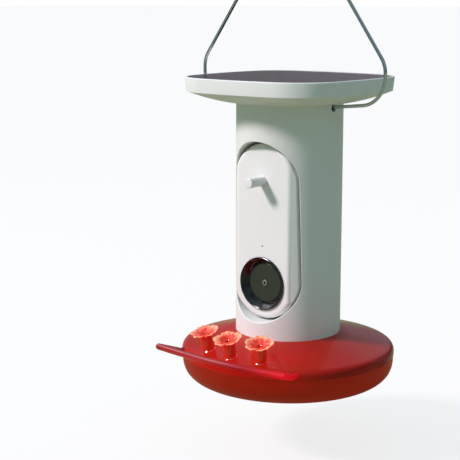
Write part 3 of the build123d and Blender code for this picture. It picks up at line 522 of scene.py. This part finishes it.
# Copies of a petal turned about the Z axis
ring_tree, ring_in = new_tree("ring_of_copies", Count="Int", Start="Float")
ring_points = add_node(ring_tree, "GeometryNodeMeshCircle", {"Vertices": ring_in["Count"], "Radius": 0.0})
ring_step = add_node(ring_tree, "ShaderNodeMath", {0: 2 * pi, 1: ring_in["Count"]}, operation="DIVIDE")
ring_index = add_node(ring_tree, "GeometryNodeInputIndex")
ring_angle = add_node(
    ring_tree, "ShaderNodeMath", {0: ring_index.outputs[0], 1: ring_step.outputs[0]}, operation="MULTIPLY"
)
ring_turn = add_node(ring_tree, "ShaderNodeCombineXYZ", {"Z": ring_angle.outputs[0]})
ring_copies = add_node(
    ring_tree,
    "GeometryNodeInstanceOnPoints",
    {"Points": ring_points.outputs[0], "Instance": ring_in["Geometry"], "Rotation": ring_turn.outputs[0]},
)
ring_real = add_node(ring_tree, "GeometryNodeRealizeInstances", {0: ring_copies.outputs[0]})
ring_merged = add_node(
    ring_tree, "GeometryNodeMergeByDistance", {"Geometry": ring_real.outputs[0], "Distance": weld}
)
ring_start = add_node(ring_tree, "ShaderNodeCombineXYZ", {"Z": ring_in["Start"]})
ring_placed = add_node(
    ring_tree,
    "GeometryNodeTransform",
    {"Geometry": ring_merged.outputs[0], "Rotation": ring_start.outputs[0]},
)
end_tree(ring_tree, ring_placed.outputs[0], ring_in["Material"])

# Round tube along a curve: the bail's wire
tube_tree, tube_in = new_tree("tube_on_path", Radius="Float", Sides="Int", Step="Float")
tube_even = add_node(
    tube_tree,
    "GeometryNodeResampleCurve",
    {"Curve": tube_in["Geometry"], "Length": tube_in["Step"]},
    mode="LENGTH",
)
tube_section = add_node(
    tube_tree,
    "GeometryNodeCurvePrimitiveCircle",
    {"Resolution": tube_in["Sides"], "Radius": tube_in["Radius"]},
)
tube_skin = add_node(
    tube_tree,
    "GeometryNodeCurveToMesh",
    {"Curve": tube_even.outputs[0], "Profile Curve": tube_section.outputs[0], "Fill Caps": True},
)
tube_real = add_node(tube_tree, "GeometryNodeRealizeInstances", {0: tube_skin.outputs[0]})
end_tree(tube_tree, tube_real.outputs[0], tube_in["Material"])

# Copies of a mesh on a flat grid, such as the silver fingers of the solar cells
grid_tree, grid_in = new_tree("grid_of_copies", Width="Float", Depth="Float", Columns="Int", Rows="Int")
grid_points = add_node(
    grid_tree,
    "GeometryNodeMeshGrid",
    {
        "Size X": grid_in["Width"],
        "Size Y": grid_in["Depth"],
        "Vertices X": grid_in["Columns"],
        "Vertices Y": grid_in["Rows"],
    },
)
grid_copies = add_node(
    grid_tree,
    "GeometryNodeInstanceOnPoints",
    {"Points": grid_points.outputs[0], "Instance": grid_in["Geometry"]},
)
grid_real = add_node(grid_tree, "GeometryNodeRealizeInstances", {0: grid_copies.outputs[0]})
end_tree(grid_tree, grid_real.outputs[0], grid_in["Material"])


def grid_mesh(name, rows, closed=False):
    """Mesh from rows of points in millimetres. Closed joins each row's end to its start."""
    width = len(rows[0])
    points = [[c * MM for c in point] for row in rows for point in row]
    faces = []
    for i in range(len(rows) - 1):
        for j in range(width if closed else width - 1):
            k = (j + 1) % width
            faces.append((i * width + j, i * width + k, (i + 1) * width + k, (i + 1) * width + j))
    mesh = bpy.data.meshes.new(name)
    mesh.from_pydata(points, [], faces)
    return mesh


def turned_mesh(name, profile, centre, axis="Z", sides=128, crease=32):
    """Closed turned body from (radius, distance along the axis) pairs in millimetres."""
    rows = []
    for radius, along in profile:
        row = []
        for step in range(sides):
            a = 2 * pi * step / sides
            x, y = radius * cos(a), radius * sin(a)
            point = (x, y, along) if axis == "Z" else (x, along, y)
            row.append(Vector(point) + Vector(centre))
        rows.append(row)
    mesh = grid_mesh(name, rows, closed=True)
    work = bmesh.new()
    work.from_mesh(mesh)
    bmesh.ops.remove_doubles(work, verts=work.verts, dist=fine_weld)
    ends = [e for e in work.edges if e.is_boundary]
    if ends:
        bmesh.ops.holes_fill(work, edges=ends, sides=0)
    bmesh.ops.recalc_face_normals(work, faces=work.faces)
    work.to_mesh(mesh)
    work.free()
    mesh.shade_smooth()
    mesh.set_sharp_from_angle(angle=radians(crease))
    return mesh


def joined(name, meshes):
    """One mesh from several, each keeping its own material."""
    work = bmesh.new()
    slots = []
    for mesh in meshes:
        first = len(work.faces)
        work.from_mesh(mesh)
        work.faces.ensure_lookup_table()
        for face in work.faces[first:]:
            material = mesh.materials[face.material_index] if mesh.materials else None
            if material not in slots:
                slots.append(material)
            face.material_index = slots.index(material)
    whole = bpy.data.meshes.new(name)
    work.to_mesh(whole)
    work.free()
    for material in slots:
        whole.materials.append(material)
    return whole


# Solids whose shape is right, with their facets smoothed
for node, material in (
    ("bowl", bowl_red),
    ("lid", lid_red),
    ("column_shell", column_abs),
    ("roof_tray", column_abs),
    ("camera_bay", column_abs),
    ("module_front_cover", module_abs),
    ("module_rear_cover", module_abs),
    ("pull_knob", module_abs),
    ("seal_ring", seal_rubber),
    ("module_gasket", seal_rubber),
    ("mic_seal", seal_rubber),
    ("battery_cells", cell_sleeve),
    ("solar_lead", nylon_black),
    ("lens_barrel", barrel_anodised),
):
    smoothed(node, material)

for node, material in (
    ("lid_screws", screw_steel),
    ("bay_screws", screw_steel),
    ("roof_screws", screw_steel),
    ("module_screws", screw_steel),
    ("knob_screw", screw_steel),
    ("contact_block", nylon_black),
    ("battery_cradle", nylon_black),
    ("junction_box", nylon_black),
    ("contact_pins", contact_brass),
    ("contact_pads", contact_brass),
    ("solar_board", board_green),
    ("main_board", board_green),
    ("sensor_board", board_green),
    ("solar_cells", silicon),
    ("solar_glass", solar_glass),
):
    nodes[node].data.materials.clear()
    nodes[node].data.materials.append(material)


def bend(points, centre, radius, start, sweep, steps=18):
    """Adds an arc in the XZ plane to a route. Angles are degrees."""
    for step in range(1, steps + 1):
        a = radians(start + sweep * step / steps)
        points.append((centre[0] + radius * cos(a), 0, centre[1] + radius * sin(a)))


# Bail: half a route in the plane Y = 0, mirrored, then skinned as one wire
half = [(bail_end_x, 0, bail_axis_height), (bail_bend_x, 0, bail_axis_height)]
bend(half, (bail_bend_x, bail_axis_height + bail_bend_radius), bail_bend_radius, -90, bail_run_slope, 4)
slope = radians(bail_run_slope)
side_start_x = bail_half_width - bail_side_turn * (1 - sin(slope))
side_start_z = half[-1][2] + (side_start_x - half[-1][0]) * tan(slope)
half.append((side_start_x, 0, side_start_z))
side_centre = (bail_half_width - bail_side_turn, side_start_z + bail_side_turn * cos(slope))
bend(half, side_centre, bail_side_turn, bail_run_slope - 90, 90 - bail_run_slope)
lean_start_z = side_centre[1] + bail_straight
half.append((bail_half_width, 0, lean_start_z))
bend(half, (bail_half_width - bail_lean_turn, lean_start_z), bail_lean_turn, 0, bail_lean)
leg_end_x = bail_top_turn * cos(radians(bail_lean))
leg_end_z = half[-1][2] + (half[-1][0] - leg_end_x) / tan(radians(bail_lean))
half.append((leg_end_x, 0, leg_end_z))
top_centre = (0, leg_end_z - bail_top_turn * sin(radians(bail_lean)))
bend(half, top_centre, bail_top_turn, bail_lean, 90 - bail_lean)
route = half + [(-x, y, z) for x, y, z in reversed(half[:-1])]


def path_curve(name, points):
    """Open curve through points in millimetres."""
    curve = bpy.data.curves.new(name, "CURVE")
    curve.dimensions = "3D"
    line = curve.splines.new("POLY")
    line.points.add(len(points) - 1)
    for i, point in enumerate(points):
        line.points[i].co = [c * MM for c in point] + [1]
    return curve


bail_mesh = grown(
    path_curve("bail_route", route),
    tube_tree,
    "bail_wire",
    Radius=wire_radius * MM,
    Sides=wire_sides,
    Step=wire_step * MM,
    Material=bail_steel,
)
bail_mesh.shade_smooth()
bail_mesh.set_sharp_from_angle(angle=radians(rod_crease))
bail = place_piece("bail_wire", bail_mesh, "bail")
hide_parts("bail")

smoothed("perch", perch_acrylic, rod_crease)


# Flower ports: two rings of five lapping petals on a turned neck
def petal_rows(tip, valley, rim_height):
    """Points of one petal, from its root to its rim, standing on its own axis."""
    rows = []
    for i in range(petal_points_along + 1):
        s = i / petal_points_along
        row = []
        for j in range(petal_points_across + 1):
            t = 2 * j / petal_points_across - 1
            lobe = (1 - abs(t) ** petal_lobe_power) ** petal_lobe_bluntness
            rim = valley + (tip - valley) * lobe
            r = petal_root_radius + (rim - petal_root_radius) * s
            u = (r - petal_root_radius) / (tip - petal_root_radius)
            rise = petal_bell_share * (1 - cos(pi * u)) / 2
            rise += (1 - petal_bell_share) * u**petal_flare_power
            height = port_collar_top + petal_thickness / 2
            height += (rim_height - petal_thickness - height) * rise
            height += petal_overlap * t * s + petal_wave * (lobe - petal_wave_level) * s**2
            height += petal_ruffle * cos(petal_ruffle_waves * pi * t) * s**3
            a = radians(petal_half_angle) * t
            row.append((r * cos(a), r * sin(a), height))
        rows.append(row)
    return rows


neck_profile = [
    (port_bore_radius, -port_tube_length),
    (port_tube_radius - port_edge, -port_tube_length),
    (port_tube_radius, port_edge - port_tube_length),
    (port_tube_radius, 0),
    (port_flange_radius, 0),
    (port_flange_radius, port_flange_height - port_edge),
    (port_flange_radius - port_edge, port_flange_height),
    (port_neck_radius + port_edge, port_flange_height),
    (port_neck_radius, port_flange_height + port_edge),
    (port_neck_radius, port_collar_rise - 0.3),
    (port_neck_radius + 0.3, port_collar_rise),
    (port_collar_radius - port_edge, port_collar_rise),
    (port_collar_radius, port_collar_rise + port_edge),
    (port_collar_radius, port_collar_top),
    (port_collar_radius - 0.5, port_collar_top + 0.6),
    (port_bore_radius + 0.4, port_collar_top + 0.6),
    (port_bore_radius, port_collar_top + 0.2),
    (port_bore_radius, -port_tube_length),
]


def port_stand(step):
    """Matrix that stands a flower on the lid's slope. The middle flower has step 0."""
    turn = Matrix.Rotation(radians(step * port_spacing), 4, "Z")
    foot = Matrix.Translation(Vector((0, -port_circle, port_lid_height)) * MM)
    lean = Matrix.Rotation(radians(lid_slope), 4, "X")
    return turn @ foot @ lean @ Matrix.Translation((0, 0, -port_sink * MM))


for side, step, start in zip(("left", "centre", "right"), (-1, 0, 1), port_petal_starts):
    turned_start = radians(start - step * port_spacing)
    rings = []
    for ring, (tip, valley, rim_height) in enumerate(petal_rings):
        rings.append(
            grown(
                grid_mesh("petal", petal_rows(tip, valley, rim_height)),
                ring_tree,
                "petals",
                Count=petal_count,
                Start=turned_start + ring * pi / petal_count,
                Material=port_coral,
            )
        )
    carrier = linked("petals", joined("petals", rings))
    thicken = carrier.modifiers.new("thickness", "SOLIDIFY")
    thicken.thickness = petal_thickness * MM
    thicken.offset = 0
    smooth = carrier.modifiers.new("smooth", "SUBSURF")
    smooth.levels = smooth.render_levels = 1
    petals = evaluated_mesh(carrier, "petals")
    petals.shade_smooth()
    neck = turned_mesh("neck", neck_profile, (0, 0, 0), sides=48)
    neck.materials.append(port_coral)
    whole = joined("flower_" + side, [petals, neck])
    shares = whole.attributes.new("rim_share", "FLOAT", "POINT")
    for vertex in whole.vertices:
        reach = (vertex.co.xy.length / MM - petal_root_radius) / (petal_tip_radius - petal_root_radius)
        in_head = vertex.co.z / MM > port_collar_top
        shares.data[vertex.index].value = min(max(reach, 0), 1) if in_head else 0
    whole.transform(port_stand(step))
    flower = place_piece("flower_" + side, whole, "flower_port_" + side)
    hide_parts("flower_port_" + side)

# Lens ring, window, bright rim and front lens, turned about the lens axis. The small bare numbers
# are the rounding of their edges.
lens_centre = (0, 0, lens_height)
face = -module_face_y
bezel_profile = [
    (bezel_body_radius, face + bezel_depth),
    (bezel_body_radius, face),
    (bezel_radius, face),
    (bezel_radius, face - bezel_flange + 0.7),
    (bezel_radius - 0.15, face - bezel_flange + 0.25),
    (bezel_radius - 0.6, face - bezel_flange),
    (bezel_radius - 1.1, face - bezel_flange + 0.2),
    (bezel_throat_radius + 0.2, face + window_front - 0.3),
    (bezel_throat_radius, face + window_front),
    (bezel_throat_radius, face + window_back),
    (bezel_lip_radius, face + window_back),
    (bezel_lip_radius, face + bezel_depth),
    (bezel_body_radius, face + bezel_depth),
]
window_profile = [
    (window_hole_radius, face + window_front),
    (bezel_throat_radius - 0.4, face + window_front),
    (bezel_throat_radius - 0.1, face + window_front + 0.3),
    (bezel_throat_radius - 0.1, face + window_back),
    (window_hole_radius, face + window_back),
    (window_hole_radius, face + window_front),
]
rim_profile = [
    (lens_dome_radius, face + lens_front),
    (lens_dome_radius + 0.2, face + lens_front - 0.35),
    (lens_rim_radius - 0.3, face + lens_front - 0.35),
    (lens_rim_radius, face + lens_front - 0.05),
    (lens_rim_radius, face + lens_front + 0.5),
    (lens_dome_radius, face + lens_front + 0.5),
    (lens_dome_radius, face + lens_front),
]
dome_profile = [
    (lens_dome_radius, face + lens_front),
    (0.95, face + lens_front - 0.13),
    (0.5, face + lens_front - 0.22),
    (0, face + lens_front - 0.25),
    (0, face + lens_front + 0.5),
    (lens_dome_radius, face + lens_front + 0.5),
    (lens_dome_radius, face + lens_front),
]
for name, profile, node, material, stands in (
    ("lens_ring", bezel_profile, "lens_bezel", bezel_black, True),
    ("lens_smoke", window_profile, "lens_window", window_smoke, True),
    ("lens_rim", rim_profile, "lens_barrel", ring_bright, False),
    ("lens_dome", dome_profile, "lens_barrel", lens_glass, False),
):
    piece = place_piece(name, turned_mesh(name, profile, lens_centre, "Y"), node, material)
    if stands:
        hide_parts(node)


def bar_mesh(name, x, y, z):
    """Thin closed bar, centred on the origin, in millimetres."""
    mesh = bpy.data.meshes.new(name)
    work = bmesh.new()
    bmesh.ops.create_cube(work, size=1, matrix=Matrix.Diagonal((x * MM, y * MM, z * MM, 1)))
    work.to_mesh(mesh)
    work.free()
    return mesh


# Silver fingers and bus bars printed on the solar cells, drawn wider than real so that they show
silver = metal("silver_paste_printed", "#C4C6C8", "#B0B2B4", 0.4, 0.8, 0.005)
finger_width = 0.3
finger_height = 0.04
finger_pitch = 3
busbar_width = 1.2
cells_low, cells_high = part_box("solar_cells")
field = cells_high.x - cells_low.x
rows_of_cells = 3
columns_of_cells = 4
cell_gap = 1.2
cell_length = (field / MM - (rows_of_cells - 1) * cell_gap) / rows_of_cells
cell_width = (field / MM - (columns_of_cells - 1) * cell_gap) / columns_of_cells
cells_middle = (cells_low + cells_high) / 2
printed_lift = cells_high.z / MM - finger_height / 2 + 0.01
fingers_per_cell = int(cell_length / finger_pitch)


def spread(source, name, width, depth, columns, rows):
    """Copies of a bar on a grid over the solar cells. Width and depth are between outer copies."""
    return grown(
        source,
        grid_tree,
        name,
        Width=width * MM,
        Depth=depth * MM,
        Columns=columns,
        Rows=rows,
        Material=silver,
    )


cell_fingers = spread(
    bar_mesh("finger", cell_width - 1, finger_width, finger_height),
    "cell_fingers",
    0,
    (fingers_per_cell - 1) * finger_pitch,
    1,
    fingers_per_cell,
)
cell_busbars = spread(
    bar_mesh("busbar", busbar_width, cell_length - 1, finger_height), "cell_busbars", cell_width / 2, 0, 2, 1
)
cell_print = joined("cell_print", [cell_fingers, cell_busbars])
solar_print = spread(
    cell_print,
    "solar_print",
    field / MM - cell_width,
    field / MM - cell_length,
    columns_of_cells,
    rows_of_cells,
)
solar_print.transform(Matrix.Translation((cells_middle.x, cells_middle.y, printed_lift * MM)))
place_piece("solar_print", solar_print, "solar_cells")

# Floor: pale paint, below the hanging feeder by more than the bowl's travel, so that the bowl shows
# when it is pulled down. What it throws back up is muted and green, as lawn would, so that the
# underside of the roof and the shaded side keep the photograph's tone.
floor_drop = 60
floor_reach = 60  # metres
floor_self_lit = 0.82
floor_corners = [(x * floor_reach, y * floor_reach, 0) for x, y in ((-1, -1), (1, -1), (1, 1), (-1, 1))]
floor_mesh = bpy.data.meshes.new("floor")
floor_mesh.from_pydata(floor_corners, [], [(0, 1, 2, 3)])
floor = linked("floor", floor_mesh)
floor.location.z = -floor_drop * MM
floor_paint, floor_tree, floor_shader, _ = new_material("floor_matt_paint")
set_inputs(floor_tree, floor_shader, {"Base Color": linear("#F4F4F4"), "Roughness": 0.9})
floor_glow = add_node(floor_tree, "ShaderNodeEmission", {"Color": linear("#FFFFFF"), "Strength": 0.98})
floor_seen = add_node(
    floor_tree,
    "ShaderNodeMixShader",
    {0: floor_self_lit, 1: floor_shader.outputs[0], 2: floor_glow.outputs[0]},
)
floor_lawn = add_node(floor_tree, "ShaderNodeBsdfDiffuse", {"Color": linear("#96A384")})
floor_ray = add_node(floor_tree, "ShaderNodeLightPath").outputs["Is Camera Ray"]
floor_mix = add_node(
    floor_tree, "ShaderNodeMixShader", {0: floor_ray, 1: floor_lawn.outputs[0], 2: floor_seen.outputs[0]}
)
floor_tree.links.new(floor_mix.outputs[0], output_of(floor_tree).inputs[0])
floor_mesh.materials.append(floor_paint)
